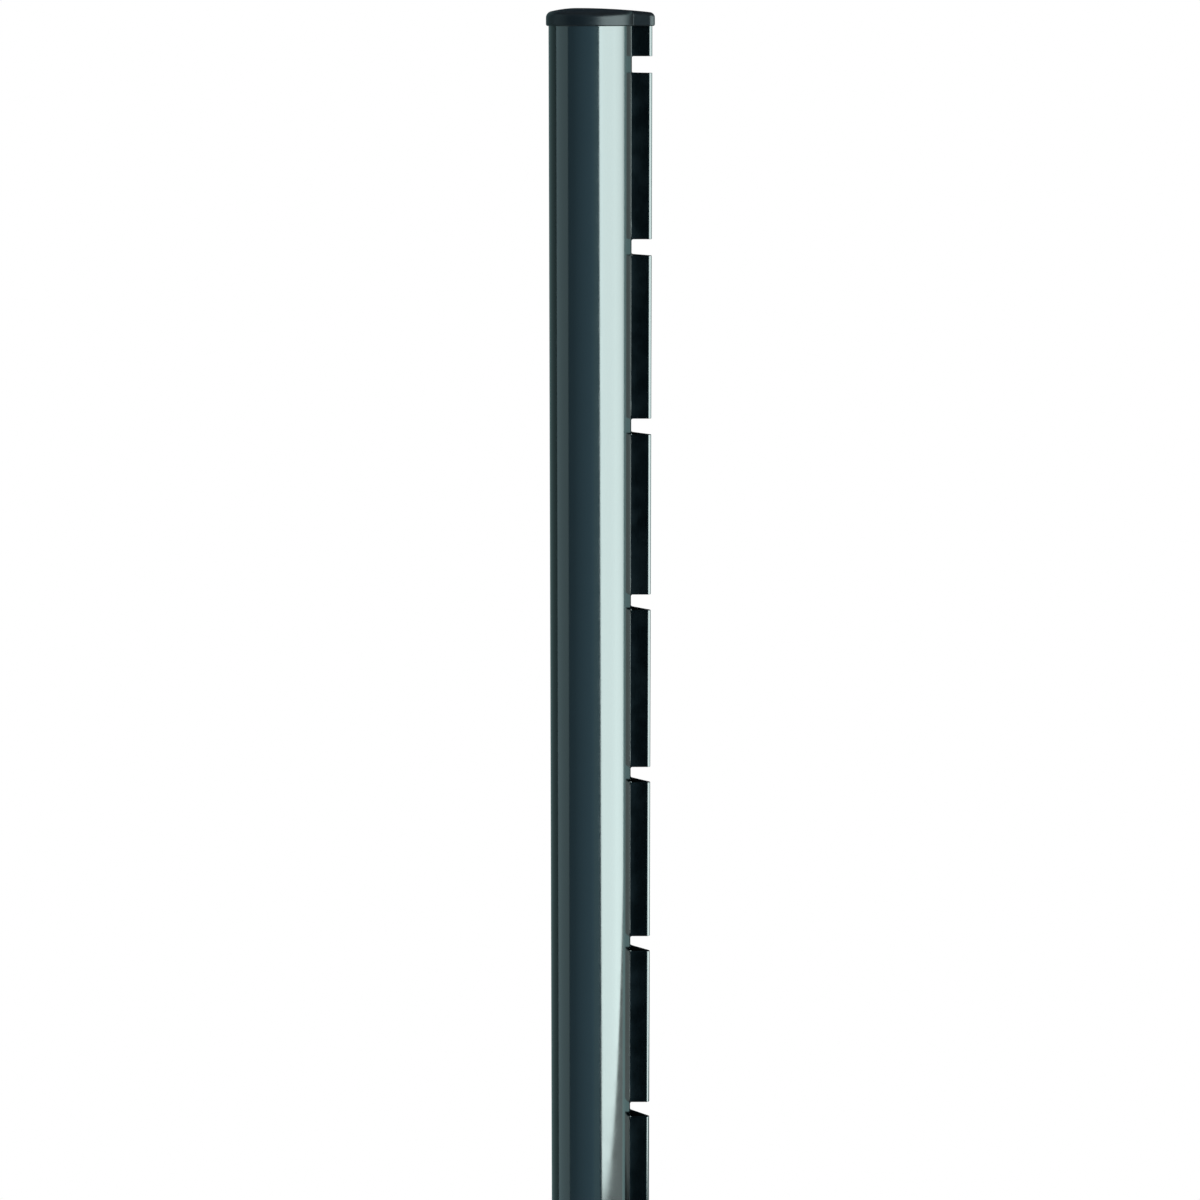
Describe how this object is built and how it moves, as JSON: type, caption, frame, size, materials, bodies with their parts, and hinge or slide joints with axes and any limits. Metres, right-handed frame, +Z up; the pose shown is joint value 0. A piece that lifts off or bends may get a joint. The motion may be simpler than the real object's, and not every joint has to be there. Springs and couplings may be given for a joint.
{
  "type": "metal fence post",
  "caption": "Round steel fence post with a hollow side fin, notched at even steps to hold the wires of mesh panels, and a fitted plastic top cap.",
  "frame": {"origin": "on the axis of the round body, in the plane of the post's foot", "axes": "+Z up along the post to its cap, +X towards the fin's nose and the open ends of the notches, +Y through the notches, away from the fin's flat face"},
  "size_m": [0.0598, 0.0488, 1.5045],
  "materials": {
    "coated_steel": "gloss powder coat",
    "cap_plastic": "semi-gloss moulded"
  },
  "bodies": {
    "root": {"post_profile": "coated_steel", "end_cap": "cap_plastic"}
  },
  "joints": []
}
